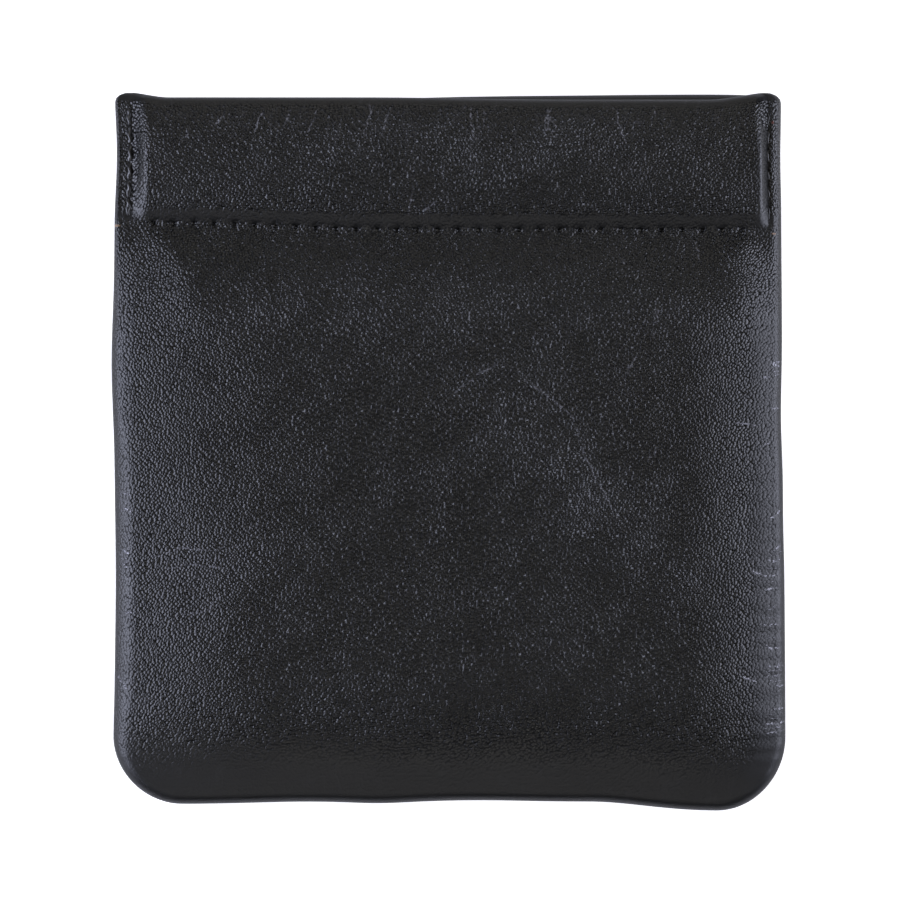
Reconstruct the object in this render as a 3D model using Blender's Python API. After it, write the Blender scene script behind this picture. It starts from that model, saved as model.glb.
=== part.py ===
"""Leather coin pouch whose mouth opens when its two ends are squeezed.

The pouch lies on its back. +X is its right-hand side, +Y points to its mouth and +Z out of its front.
The origin is on the table, under the middle of the pouch. Each wall is one piece of leather whose top
is turned in as a hem, and the hem holds an arched strip of spring steel. The walls are sewn together
round the sides and the bottom, inside out, and then turned, so their edges roll in to a hidden seam.
Heights in the functions below are measured from the mid-plane between the two walls.
"""
import bpy
import bmesh
from math import cos, pi, sin, sqrt

# Driving sizes of the pouch, in metres
pouch_width = 0.0900            # across the side seams, at the mouth
bottom_spread = 0.0006          # how much wider the pouch is at its bottom
pouch_height = 0.0965           # from the lips to the lowest corner
bottom_corner_radius = 0.0092
mouth_corner_fold = 0.0011      # inner radius of the walls' corners at the mouth
right_corner_sag = 0.0012       # how far the bottom's right corner hangs below its middle
left_corner_sag = 0.0003
sag_half_width = 0.0085         # of each sagging corner
sag_reach = 0.0300              # height over which the sag fades out
leather = 0.0009                # thickness of the leather
edge_fold = 0.0007              # inner radius where the leather curls round to the seam
front_belly_rise = 0.0017       # how much the used front stands up below the casing
left_shoulder = 0.0260          # width over which it rises from its left edge
right_shoulder = 0.0110
bottom_shoulder = 0.0160
stitch_shoulder = 0.0130        # height over which it rises from the casing's stitches
back_shoulder = 0.0050          # distance over which the flat back rises from all of its edges

# Driving sizes of the spring strips and their casings
spring_width = 0.0150
spring_thickness = 0.00025
spring_arch = 0.0015            # height of the arch across the strip
spring_corner_radius = 0.0030
spring_end_clearance = 0.0009   # free length in the casing at each end of a strip
spring_top_clearance = 0.00035  # between a strip's upper edge and the fold of the lip, its inner radius
spring_to_stitches = 0.0014     # from a strip's lower edge down to the row of stitches
casing_end_rise = 0.0013        # width of the step where the leather climbs over a strip's end
side_strip = 0.0023             # flat strip from the side seam to that step
hem_allowance = 0.0025          # raw edge of the hem below its stitches
hem_overhang = 0.0010           # how far the hem reaches past a strip's end

# Driving sizes of the seam and the stitches
seam_inset = 0.0014             # from the rolled edge to the hidden seam's thread
seam_thread = 0.0004            # thickness of the hidden seam's thread
margin_inset = 0.0019           # from the rolled edge to the turned-in margins
margin_width = 0.0031
margin_taper = 0.0040           # length below the hems over which the margins reach that width
margin_top_gap = 0.0022         # from the lips down to the margins' upper ends
side_stitch_inset = 0.0019      # from the rolled edge to the upright row of stitches
stitch_pitch = 0.00273
side_stitch_pitch = 0.00240
side_row_end_gap = 0.0008       # from the lip's fold and the casing's stitches to the upright rows
stitch_thread = 0.0005          # thickness of the thread in the rows that show
dipped_share = 0.5              # how much of it stands out where it goes into a hole

# Clearances
touch_gap = 0.0003              # between pieces that lie on each other
spring_slack = 0.00036          # between a spring strip and the leather on either side of it
mouth_gap = 0.00044             # between the two closed lips
weld_distance = 0.000001        # within which the edges of neighbouring patches are one

# Steps of the meshes
roll_steps = 3                  # round the rolled edge
ring_steps = 3                  # from the step beside the casing's end in to a corner's centre
corner_steps = 5                # round each bottom corner
side_steps = 10                 # along each side seam
middle_steps = 12               # between the bottom corners' centres
face_steps = 8                  # up the face, below the casing
ramp_steps = 4                  # from the belly up to the casing's stitches
arch_steps = 6                  # across a spring strip and the leather over it
lip_steps = 6                   # over the fold of the lip
hem_steps = 4
strip_steps = 12                # along a spring strip
strip_corner_steps = 4

# Levels and places that follow from the sizes above
half_width = pouch_width / 2
lip_y = pouch_height / 2
bottom_y = right_corner_sag - pouch_height / 2
spring_top_y = lip_y - leather - spring_top_clearance
spring_middle_y = spring_top_y - spring_width / 2
spring_bottom_y = spring_top_y - spring_width
stitches_y = spring_bottom_y - spring_to_stitches
hem_end_y = stitches_y - hem_allowance
spring_half_length = half_width - side_strip - casing_end_rise - spring_end_clearance
hem_half_width = spring_half_length + hem_overhang
hem_level = mouth_gap / 2
spring_seat = hem_level + leather + spring_slack
rim_level = hem_level + leather + touch_gap + leather
casing_level = spring_seat + spring_arch + spring_thickness + spring_slack + leather
edge_level = touch_gap / 2
table_to_mid_plane = casing_level
back_belly_rise = casing_level - rim_level
edge_roll = leather + edge_fold
mouth_corner_radius = leather + mouth_corner_fold


def clear_scene():
    for item in list(bpy.data.objects):
        bpy.data.objects.remove(item, do_unlink=True)


def make_material(name, colour, roughness, metallic=0.0):
    material = bpy.data.materials.new(name)
    material.use_nodes = True
    shader = material.node_tree.nodes["Principled BSDF"]
    shader.inputs["Base Color"].default_value = (*colour, 1.0)
    shader.inputs["Roughness"].default_value = roughness
    shader.inputs["Metallic"].default_value = metallic
    return material


def add_object(name, bm, material):
    """Turn a bmesh into a smooth-shaded object with one material."""
    mesh = bpy.data.meshes.new(name)
    bm.to_mesh(mesh)
    bm.free()
    mesh.materials.append(material)
    mesh.shade_smooth()
    item = bpy.data.objects.new(name, mesh)
    bpy.context.scene.collection.objects.link(item)
    return item


def ease(t):
    """Smooth step from 0 to 1."""
    t = min(max(t, 0.0), 1.0)
    return t * t * (3 - 2 * t)


def shoulder(t):
    """Quarter sine wave from 0 to 1, steep at first and then flat."""
    return sin(pi / 2 * min(max(t, 0.0), 1.0))


def spread(start, end, steps):
    """Evenly spaced values from start to end, both included."""
    return [start + (end - start) * i / steps for i in range(steps + 1)]


def settle(x, y):
    """Move a point of the plain outline to where the used pouch has it.

    The sides lean out towards the bottom, and the bottom's corners hang below its middle.
    """
    down = (lip_y - y) / (lip_y - bottom_y)
    low = ease(1 - (y - bottom_y) / sag_reach)
    sag = 0.0
    for side, depth in ((1, right_corner_sag), (-1, left_corner_sag)):
        away = (x - side * (half_width - bottom_corner_radius)) / sag_half_width
        sag += depth * max(0.0, 1 - (away / 2) ** 2) ** 2
    return x * (1 + down * bottom_spread / pouch_width), y - sag * low


def strip_arch(y):
    """Height of a spring strip's arch above its two edges."""
    across = (y - spring_middle_y) / (spring_width / 2)
    return spring_arch * max(0.0, 1 - across * across)


def casing_rise(x, y, depth):
    """Extra height of the leather where it passes over the spring strip, depth below its outer face."""
    if y <= stitches_y:
        return 0.0
    edge = casing_level - spring_arch - rim_level
    over = edge * min((y - stitches_y) / spring_to_stitches, 1.0) + strip_arch(y)
    end = half_width - side_strip - step_shift(depth) - abs(x)
    return over * ease(end / casing_end_rise)


def step_shift(depth):
    """How much nearer the middle the step over a strip's end lies, depth below the outer face."""
    slope = (casing_level - rim_level) / casing_end_rise
    return depth * (sqrt(1 + slope * slope) - 1) / slope


def belly(x, y, inset, facing):
    """How far a wall stands out below its casing, at a point that lies inset from the rolled edge.

    The back is flat and rises quickly from its edges. The front rises slowly, over a width of its own
    from each edge, and those four shoulders are multiplied.
    """
    down = stitches_y - y
    if facing < 0:
        return back_belly_rise * ease((inset - edge_roll) / back_shoulder) * ease(down / back_shoulder)
    sides = shoulder((x + half_width - edge_roll) / left_shoulder)
    sides *= shoulder((half_width - edge_roll - x) / right_shoulder)
    ends = shoulder((y - bottom_y - edge_roll) / bottom_shoulder) * ease(down / stitch_shoulder)
    return front_belly_rise * sides * ends


def face_level(x, y, inset, facing, depth=0.0):
    """Height of a wall's face, at a point that lies inset from the rolled edge.

    A depth of 0 is the leather's outer face, and a depth of its thickness its inner face.
    """
    level = rim_level - depth + belly(x, y, inset, facing) + casing_rise(x, y, depth)
    return edge_level + (level - edge_level) * curl(inset, depth)


def curl(inset, depth):
    """Share of its full height that a wall has where it curls round to the seam, along a quarter circle."""
    lean = max(0.0, 1 - (inset - depth) / (edge_roll - depth))
    return sqrt(1 - lean * lean)


def ring_insets(depth):
    """Distances in from the rolled edge at which the mesh has its rings, down to the corner's centre."""
    rings = [edge_roll - (edge_roll - depth) * cos(turn) for turn in spread(0, pi / 2, roll_steps)]
    step = side_strip + step_shift(depth)
    rings.append(step)
    rings += spread(step + casing_end_rise, bottom_corner_radius, ring_steps)
    return rings


def patch(bm, rows):
    """Make faces between rows of points, and return the points' vertices. Points may lie on one spot."""
    grid = [[bm.verts.new(point) for point in row] for row in rows]
    for lower, upper in zip(grid, grid[1:]):
        for i in range(len(lower) - 1):
            bm.faces.new((lower[i], lower[i + 1], upper[i + 1], upper[i]))
    return grid


def wall_skin(facing, depth):
    """The points of one skin of a wall, depth below its outer face, as patches of rows.

    The main patch runs from the bottom corners' centres up over the lip and down the hem. The bottom
    and the two corners are patches of rings that lie ever further in from the rolled edge.
    """
    insets = ring_insets(depth)
    inner_half = half_width - bottom_corner_radius
    inner = spread(-inner_half, inner_half, middle_steps)
    corner_y = bottom_y + bottom_corner_radius
    columns = [(-1, inset) for inset in insets[:-1]]
    columns += [(0, x) for x in inner]
    columns += [(1, inset) for inset in reversed(insets[:-1])]

    def across(column, half):
        """X of a column where the skin's edges lie half from the middle."""
        side, value = column
        if side == 0:
            return value
        share = (value - depth) / (bottom_corner_radius - depth)
        return side * (half - share * (half - inner_half))

    def inset_of(column):
        return column[1] if column[0] else bottom_corner_radius

    def lie(column, y):
        """Height of the face in a column."""
        x = across(column, half_width - depth)
        return face_level(x, y, inset_of(column), facing, depth)

    belly_end = stitches_y - (stitch_shoulder if facing > 0 else back_shoulder)
    levels = spread(corner_y, belly_end, face_steps)
    levels += spread(belly_end, stitches_y, ramp_steps)[1:]
    levels += spread(spring_bottom_y, spring_top_y, arch_steps)
    rows = []
    for y in levels:
        xs = [across(column, half_width - depth) for column in columns]
        rows.append([(*settle(x, y), lie(column, y)) for x, column in zip(xs, columns)])

    corner_x = half_width - mouth_corner_radius
    hem = hem_level + depth
    lip_level = (casing_level - spring_arch + hem_level) / 2
    for i in range(1, lip_steps + 1):
        turn = pi * i / lip_steps
        outside = i <= lip_steps / 2
        y = spring_top_y + (leather + spring_top_clearance - depth) * sin(turn)
        beyond = mouth_corner_radius - depth if outside else corner_x - hem_half_width
        row = []
        for column in columns:
            x = across(column, corner_x + beyond * cos(turn))
            top = edge_level + (lip_level - edge_level) * curl(inset_of(column), depth)
            end = lie(column, spring_top_y) if outside else hem
            row.append((*settle(x, y), top + (end - top) * abs(cos(turn))))
        rows.append(row)
    for y in spread(spring_top_y, hem_end_y, hem_steps)[1:]:
        rows.append([(*settle(across(column, hem_half_width), y), hem) for column in columns])
    patches = [rows]

    rows = []
    for inset in insets:
        y = bottom_y + inset
        rows.append([(*settle(x, y), face_level(x, y, inset, facing, depth)) for x in inner])
    patches.append(rows)

    for side in (-1, 1):
        start = pi if side < 0 else 1.5 * pi
        rows = []
        for inset in insets:
            reach = bottom_corner_radius - inset
            row = []
            for angle in spread(start, start + pi / 2, corner_steps):
                x = side * inner_half + reach * cos(angle)
                y = corner_y + reach * sin(angle)
                row.append((*settle(x, y), face_level(x, y, inset, facing, depth)))
            rows.append(row)
        patches.append(rows)
    return patches


def stand_on(bm, facing):
    """Put heights above the mid-plane where the wall is: facing 1 is the front and -1 the back."""
    for vert in bm.verts:
        vert.co.z = table_to_mid_plane + facing * vert.co.z
    if facing < 0:
        bmesh.ops.reverse_faces(bm, faces=bm.faces)


def add_thickness(item, thickness):
    """Give a surface its thickness, inwards from its outer face."""
    solidify = item.modifiers.new("Thickness", "SOLIDIFY")
    solidify.thickness = thickness
    solidify.offset = -1
    solidify.use_even_offset = True


def make_panel(name, facing, material):
    """One wall: its outer skin, a copy of it moved to the inner skin, and faces round their edges."""
    bm = bmesh.new()
    below = bm.verts.layers.float_vector.new("below")
    for outer, inner in zip(wall_skin(facing, 0.0), wall_skin(facing, leather)):
        for verts, points in zip(patch(bm, outer), inner):
            for vert, point in zip(verts, points):
                vert[below] = point
    bmesh.ops.remove_doubles(bm, verts=bm.verts, dist=weld_distance)
    edges = [edge for edge in bm.edges if edge.is_boundary]
    copied = bmesh.ops.duplicate(bm, geom=bm.verts[:] + bm.edges[:] + bm.faces[:])
    twin = copied["vert_map"]
    for item in copied["geom"]:
        if isinstance(item, bmesh.types.BMVert):
            item.co = item[below]
    for edge in edges:
        start, end = edge.verts
        bm.faces.new((start, end, twin[end], twin[start]))
    bmesh.ops.recalc_face_normals(bm, faces=bm.faces)
    stand_on(bm, facing)
    add_object(name, bm, material)


def make_spring(name, facing, material):
    """An arched strip of spring steel with rounded corners, its hollow side towards the mid-plane."""
    radius = spring_corner_radius
    turns = spread(0, pi / 2, strip_corner_steps)
    ends = [spring_half_length - radius * (1 - cos(turn)) for turn in turns]
    places = [-x for x in ends] + spread(-ends[-1], ends[-1], strip_steps)[1:-1] + ends[::-1]
    top = spring_seat + spring_thickness
    rows = []
    for x in places:
        inset = min(spring_half_length - abs(x), radius)
        half = spring_width / 2 - radius + sqrt(max(0.0, radius ** 2 - (radius - inset) ** 2))
        ys = spread(spring_middle_y - half, spring_middle_y + half, arch_steps)
        rows.append([(x, y, top + strip_arch(y)) for y in reversed(ys)])
    bm = bmesh.new()
    patch(bm, rows)
    stand_on(bm, facing)
    add_thickness(add_object(name, bm, material), spring_thickness)


def seam_path(inset, top_y):
    """Points round the sides and the bottom, inset from the rolled edge, with their inward directions."""
    inner_half = half_width - bottom_corner_radius
    corner_y = bottom_y + bottom_corner_radius
    reach = bottom_corner_radius - inset
    left = [(inset - half_width, y, 1, 0) for y in spread(top_y, corner_y, side_steps)]
    for angle in spread(pi, 1.5 * pi, corner_steps)[1:-1]:
        x = -inner_half + reach * cos(angle)
        left.append((x, corner_y + reach * sin(angle), -cos(angle), -sin(angle)))
    bottom = [(x, bottom_y + inset, 0, 1) for x in spread(-inner_half, inner_half, middle_steps)]
    right = [(-x, y, -dx, dy) for x, y, dx, dy in reversed(left)]
    return left + bottom + right


def make_sewn_edge(material):
    """The turned-in margins of both panels, lying flat on each other inside the rolled edge.

    Beside the casings they are trimmed narrow, so that they lie between the rolled edge and the hems.
    """
    narrow = half_width - hem_half_width - touch_gap - margin_inset
    narrow_end_y = hem_end_y - touch_gap
    path = seam_path(margin_inset, narrow_end_y - margin_taper)
    left_arm = [(margin_inset - half_width, y, 1, 0) for y in (lip_y - margin_top_gap, narrow_end_y)]
    right_arm = [(-x, y, -dx, dy) for x, y, dx, dy in reversed(left_arm)]
    rows = []
    for part, width in ((left_arm, narrow), (path, margin_width), (right_arm, narrow)):
        for x, y, dx, dy in part:
            inner = (x + dx * width, y + dy * width)
            rows.append([(*settle(x, y), 0.0), (*settle(*inner), 0.0)])
    bm = bmesh.new()
    patch(bm, rows)
    stand_on(bm, 1)
    item = add_object("sewn_edge", bm, material)
    add_thickness(item, 2 * leather)
    item.modifiers["Thickness"].offset = 0


def make_tube(name, points, thickness, material):
    """A thread as a thin tube along points, each given with its share of the thread's thickness."""
    curve = bpy.data.curves.new(name, "CURVE")
    curve.dimensions = "3D"
    curve.bevel_depth = thickness / 2
    curve.bevel_resolution = 1
    curve.use_fill_caps = True
    spline = curve.splines.new("POLY")
    spline.points.add(len(points) - 1)
    for point, (x, y, z, share) in zip(spline.points, points):
        point.co = (x, y, z, 1.0)
        point.radius = share
    curve.materials.append(material)
    item = bpy.data.objects.new(name, curve)
    bpy.context.scene.collection.objects.link(item)


def make_seam_thread(material):
    """The lockstitch of the hidden seam, a thread round the sides and the bottom."""
    path = seam_path(seam_inset, lip_y - margin_top_gap)
    points = [(*settle(x, y), table_to_mid_plane, 1.0) for x, y, _, _ in path]
    make_tube("seam_thread", points, seam_thread, material)


def make_stitch_row(name, facing, holes, material):
    """The thread of a row of stitches, thin where it dips into a hole and full between the holes.

    holes are the places of its needle holes on the plain outline.
    """
    points = []
    for i, (x, y) in enumerate(holes):
        places = [(x, y, dipped_share)]
        if i:
            before = holes[i - 1]
            places.insert(0, ((x + before[0]) / 2, (y + before[1]) / 2, 1.0))
        for place_x, place_y, share in places:
            inset = min(half_width - abs(place_x), bottom_corner_radius)
            lie = face_level(place_x, place_y, inset, facing) + touch_gap + share * stitch_thread / 2
            points.append((*settle(place_x, place_y), table_to_mid_plane + facing * lie, share))
    make_tube(name, points, stitch_thread, material)


def row_of(start, end, pitch):
    """Places a pitch apart, centred between start and end."""
    count = int((end - start) / pitch)
    middle = (start + end) / 2
    return [middle + (i - count / 2) * pitch for i in range(count + 1)]


def main():
    clear_scene()
    black_leather = make_material("black_leather", (0.022, 0.022, 0.026), 0.42)
    spring_steel = make_material("spring_steel", (0.32, 0.34, 0.37), 0.30, 1.0)
    black_thread = make_material("black_thread", (0.018, 0.017, 0.017), 0.60)

    make_panel("back_panel", -1, black_leather)
    make_panel("front_panel", 1, black_leather)
    make_spring("back_spring", -1, spring_steel)
    make_spring("front_spring", 1, spring_steel)
    make_sewn_edge(black_leather)
    make_seam_thread(black_thread)

    casing_row = row_of(-spring_half_length, spring_half_length, stitch_pitch)
    casing_holes = [(x, stitches_y) for x in casing_row]
    side_row = row_of(stitches_y + side_row_end_gap, spring_top_y - side_row_end_gap, side_stitch_pitch)
    for wall, facing in (("front", 1), ("back", -1)):
        make_stitch_row(f"{wall}_casing_thread", facing, casing_holes, black_thread)
        for side, sign in (("left", -1), ("right", 1)):
            x = sign * (half_width - side_stitch_inset)
            side_holes = [(x, y) for y in side_row]
            make_stitch_row(f"{wall}_{side}_side_thread", facing, side_holes, black_thread)


main()
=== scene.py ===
"""Looks of the leather coin pouch that opens when its two ends are squeezed.

The pouch lies on its back: +X is its right-hand side, +Y points to its mouth and +Z out of its front.
Sizes are in metres. A level is a distance from the mid-plane between the two walls, and facing says
which wall it belongs to: 1 for the front and -1 for the back. The plain outline is the one the pouch
had when it was new, and the flat hide is the cut leather before it was folded and sewn.
"""

from math import pi, radians

import bmesh
import bpy
import numpy as np
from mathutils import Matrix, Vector


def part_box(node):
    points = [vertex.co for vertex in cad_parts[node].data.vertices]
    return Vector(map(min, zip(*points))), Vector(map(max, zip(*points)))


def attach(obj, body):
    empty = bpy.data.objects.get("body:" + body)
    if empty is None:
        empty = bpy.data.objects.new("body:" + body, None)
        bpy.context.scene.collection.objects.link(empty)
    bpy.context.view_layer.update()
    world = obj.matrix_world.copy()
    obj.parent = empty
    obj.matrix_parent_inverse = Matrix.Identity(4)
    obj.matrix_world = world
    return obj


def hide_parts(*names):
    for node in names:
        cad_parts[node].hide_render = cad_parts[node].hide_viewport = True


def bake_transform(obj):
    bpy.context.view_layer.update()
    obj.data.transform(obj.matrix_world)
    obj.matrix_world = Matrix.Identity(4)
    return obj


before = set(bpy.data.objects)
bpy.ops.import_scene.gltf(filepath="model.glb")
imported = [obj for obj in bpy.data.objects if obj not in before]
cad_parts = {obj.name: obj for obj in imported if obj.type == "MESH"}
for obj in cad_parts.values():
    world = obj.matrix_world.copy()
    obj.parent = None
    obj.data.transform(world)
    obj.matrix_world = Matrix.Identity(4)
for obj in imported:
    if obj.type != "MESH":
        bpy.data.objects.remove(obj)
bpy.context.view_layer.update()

# Sizes read from the frame
panel_low, panel_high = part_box("front_panel")
strip_low, strip_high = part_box("front_spring")
margins_low, margins_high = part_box("sewn_edge")
row_low, row_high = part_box("front_casing_thread")
upright_low, upright_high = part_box("front_right_side_thread")
mid_plane = (margins_low.z + margins_high.z) / 2
leather = (margins_high.z - margins_low.z) / 2      # its thickness, as the margins are two layers
lip_y = panel_high.y
casing_level = panel_high.z - mid_plane
strip_top_y, strip_bottom_y = strip_high.y, strip_low.y
strip_middle_y = (strip_top_y + strip_bottom_y) / 2
strip_half_width = (strip_top_y - strip_bottom_y) / 2
strip_half_length = strip_high.x
strip_seat = strip_low.z - mid_plane
stitches_y = (row_low.y + row_high.y) / 2

# The plain outline
half_width = 0.0450
bottom_corner_radius = 0.0092
mouth_corner_radius = 0.0020
right_corner_sag = 0.0012       # how much lower the used bottom hangs at its right corner
left_corner_sag = 0.0003
sag_width = 0.0170              # to each side of a corner's centre
sag_height = 0.0300             # over which the sag fades out
bottom_y = panel_low.y + right_corner_sag
corner_centre_x = half_width - bottom_corner_radius
corner_centre_y = bottom_y + bottom_corner_radius

# The rolled side edges
edge_roll = 0.0016              # width over which a wall curls round to the hidden seam
edge_level = 0.00015
roll_length = 0.0029            # of the leather in that curl
tight_roll = 0.0006             # the curl's width at the casing's left end
wide_roll = 0.0027              # and low down the left side
tight_roll_y = (0.0300, 0.0140)     # where it is tight, and where it is the plain width again
wide_roll_y = (0.0080, -0.0060)     # where it is the plain width, and where it is wide
wide_roll_fade = 0.0180         # height above the bottom over which it comes back to the plain width
thinnest_roll = 0.0003          # of an inner skin

# The lip and the hem
lip_fold = 0.00035              # inner radius of the lip
lip_length = 0.0041             # of the leather in the lip's fold
hem_level = 0.00022
rim_level = 0.00232             # of the walls where they lie flat beside the casing
hem_below_stitches = 0.0025
hem_past_strip = 0.0010
hem_end_y = stitches_y - hem_below_stitches
hem_half_width = strip_half_length + hem_past_strip

# The casing's ends
left_flat = 0.0023              # width of the flat leather beside the casing's left end
right_flat = 0.0018
left_end_rise = 0.0024          # width over which the leather climbs over a strip's left end
right_end_rise = 0.0015
top_corner_extra = 0.0007       # the right end's rise is wider near its top corner
top_corner_y = 0.0452
top_corner_reach = 0.0026

# The spring strips
strip_thickness = 0.00025
strip_arch = strip_high.z - strip_low.z - strip_thickness
strip_corner_radius = 0.0030

# The rows of stitches and the hidden seam
stitch_pitch = 0.00273
side_stitch_pitch = 0.00240
side_row_inset = {"left": 0.00202, "right": 0.00192}
thread_thickness = 0.00048
side_thread_thickness = {"left": 0.00066, "right": 0.00036}
thread_sink = 0.00054           # of a thread's centre below the leather's face at a needle hole
thread_rise = 0.00024           # from there to the middle of a stitch
side_thread_rise = {"left": 0.00054, "right": 0.00050}
stitch_roundness = 0.45         # power of the sine that lifts a stitch, whose back is flatter below 1
row_ply_depth = 0.26            # of the hollows between a thread's two plies, as a share of its radius
row_ply_turn = 0.0013           # length over which the plies make half a turn
seam_inset = 0.0014
seam_thread_thickness = 0.0004
seam_ply_depth = 0.14
seam_ply_turn = 0.0012

# How the stitches pull the leather in
row_groove_depth = 0.00004
row_groove_reach = 0.0004
row_end_fade = 0.0010
needle_hole_depth = 0.00028
needle_hole_reach = 0.00045
side_groove_depth = {"left": 0.00004, "right": 0.00020}
side_groove_reach = 0.00020
side_groove_fade = 0.0010
left_edge_grooves = ((0.00100, 0.00022, 0.00012), (0.00052, 0.00014, -0.00006))    # inset, reach, depth

# The turned-in margins
touch_gap = 0.0003
margin_inset = 0.0019
margin_width = 0.0031
margin_top_gap = 0.0022
margin_taper = 0.0040
margin_waver = 0.00012          # of their cut edge
margin_waves = (900, 700)       # radians per metre across and up the pouch
margin_waver_fade = 0.0100
# Share of the width and level of each corner of their profile
margin_profile = ((0, -1), (0.5, -1), (0.97, -1), (1, -0.9), (1, -0.12), (0.93, 0),
                  (1, 0.12), (1, 0.9), (0.97, 1), (0.5, 1), (0, 1), (0, 0))

# How use has shaped the outline: steps are (start, reach, size), bells are (place, reach, size)
left_edge_bells = ((0.040, 0.006, 0.00034), (0.012, 0.009, -0.00042), (-0.017, 0.009, 0.00013),
                   (-0.040, 0.007, -0.00020))
right_edge_steps = ((-0.045, 0.090, -0.00060),)
right_edge_bells = ((0.0046, 0.007, -0.00026), (-0.009, 0.005, -0.00010), (0.040, 0.004, -0.00010))
right_edge_push = 0.00029       # of the right edge at the bottom
bottom_edge_bells = ((-0.0095, 0.005, 0.00022), (0.004, 0.008, -0.00018))
front_lip_steps = ((-0.0435, 0.006, 0.00070), (-0.012, 0.030, 0.00031), (0.035, 0.009, -0.00101))
back_lip_steps = ((-0.0430, 0.006, 0.00079), (-0.028, 0.040, -0.00072), (0.005, 0.030, -0.00020),
                  (0.036, 0.008, 0.00013))
front_stitch_steps = ((-0.036, 0.030, 0.00090),)
dip_end_y = 0.018               # where the dip of the lips and stitches has faded out

# The fullness of the walls
front_belly_rise = 0.0023
back_belly_rise = casing_level - rim_level
left_shoulder = 0.020           # width over which the front rises from its left edge
right_shoulder = 0.012
bottom_shoulder = 0.016
stitch_shoulder = 0.013
back_shoulder = 0.005
flank_share = 0.16              # of the front's rise, which comes at once beside the rolled edges
left_flank_width = 0.0027
right_flank_width = 0.0038
flank_start = 0.0006            # from the plain outline to where that share begins
flank_top = 0.0060              # below the stitches, over which it fades in

# Swells of the front: place x and y, half length, half width, turn and height
swell_places = (
    (0.016, -0.004, 0.016, 0.0035, radians(-49), 0.00018),
    (-0.024, -0.018, 0.016, 0.0060, radians(52), 0.00015),
    (0.030, 0.012, 0.010, 0.0040, radians(60), 0.00012),
    (-0.002, 0.008, 0.012, 0.0060, radians(60), -0.00015),
    (0.0390, 0.0262, 0.0060, 0.0027, radians(90), 0.00074),
    (-0.0362, 0.0254, 0.0070, 0.0028, radians(-66), 0.00056),
)
# Long low waves of the front: length, turn, shift and height
wave_lines = (
    (0.021, radians(20), 0.4, 0.00003),
    (0.015, radians(68), 2.1, 0.00002),
    (0.031, radians(-35), 4.0, 0.00004),
)
swell_top_fade = 0.0026         # width over which they fade out towards the stitches
swell_edge_fade = 0.0060        # and towards the sides and the bottom

# Small cross folds down the worn side edges
fold_pitch = 0.0023
fold_height = 0.00007
fold_waver = 1.9                # of the pitch's phase, up and down the edge
fold_waver_length = 0.0131
left_fold_share = 0.5

# Zones of the hide: start, end and width of the soft edges
right_fold_x = (0.0400, 0.0470, 0.0040)
right_fold_y = (-0.0420, 0.0260, 0.0100)
left_fold_x = (-0.0470, -0.0418, 0.0030)
crumple_x = (0.0409, 0.0424, 0.0008)
crumple_y = (0.0433, 0.0468, 0.0015)
vein_x = (-0.0390, 0.0390, 0.0040)
vein_y = (0.0405, 0.0490, 0.0040)
casing_y = (stitches_y, 1.0, 0.0005)                    # which goes on over the lip and the hem
row_band_y = (stitches_y + 0.0003, stitches_y + 0.0019, 0.0007)
lip_band_y = (strip_top_y + 0.0001, strip_top_y + 0.0060, 0.0005)
foot_y = (-0.0600, -0.0400, 0.0080)
step_band_x = (0.0413, 0.0431, 0.0004)
left_band_x = (-0.0470, -0.0418, 0.0014)
right_band_x = (0.0402, 0.0470, 0.0030)

# How strongly the hide is marked there: its lines in relief and in a painted highlight, and its pressed
# bands smooth and without the crevices' painted shade
right_fold_lines = 0.55
left_fold_lines = 0.3
crumple_lines = 1.5
vein_lines = (0.3, 1.0)         # on the face, and near the lip
row_pressed = 0.70
lip_pressed = 1.0
foot_pressed = 0.85
step_pressed = 0.60
left_pressed = 0.2
right_pressed = 0.65
pressed_away = 0.9              # of the grain's height, where the leather is pressed smooth

# Creases of the used front, read off the photograph: the points along each, in its pixels
photo_width = 900
photo_middle = (449, 452)
photo_pixel = 0.0001347         # of the pouch that one pixel shows
casing_creases = (
    ((183, 148), (192, 137)),
    ((147, 163), (154, 147)),
    ((217, 130), (228, 116)),
    ((255, 148), (260, 124), (266, 111)),
    ((286, 131), (292, 111)),
    ((308, 139), (314, 124), (320, 111)),
    ((364, 141), (372, 115), (371, 105)),
    ((382, 141), (391, 111)),
    ((408, 218), (414, 193)),
    ((423, 216), (436, 203)),
    ((470, 109), (471, 128), (475, 143)),
    ((483, 113), (484, 128)),
    ((542, 111), (553, 126), (555, 143)),
    ((551, 111), (544, 122), (545, 139)),
    ((614, 109), (617, 128), (625, 150)),
    ((653, 109), (654, 120)),
)
face_creases = (
    ((500, 360), (521, 378), (545, 396), (563, 409), (572, 420), (582, 455), (600, 488), (622, 530)),
    ((448, 398), (478, 376), (500, 362)),
    ((632, 342), (641, 323), (647, 316)),
    ((623, 377), (637, 351)),
    ((650, 340), (653, 322), (656, 307)),
    ((641, 281), (643, 275)),
    ((643, 464), (656, 446)),
    ((621, 261), (626, 270)),
    ((693, 240), (699, 268)),
    ((151, 558), (182, 547), (215, 549), (251, 543)),
    ((162, 569), (197, 563), (231, 567)),
    ((182, 614), (212, 608), (227, 586)),
    ((249, 530), (264, 521)),
    ((176, 509), (183, 500)),
)
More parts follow.
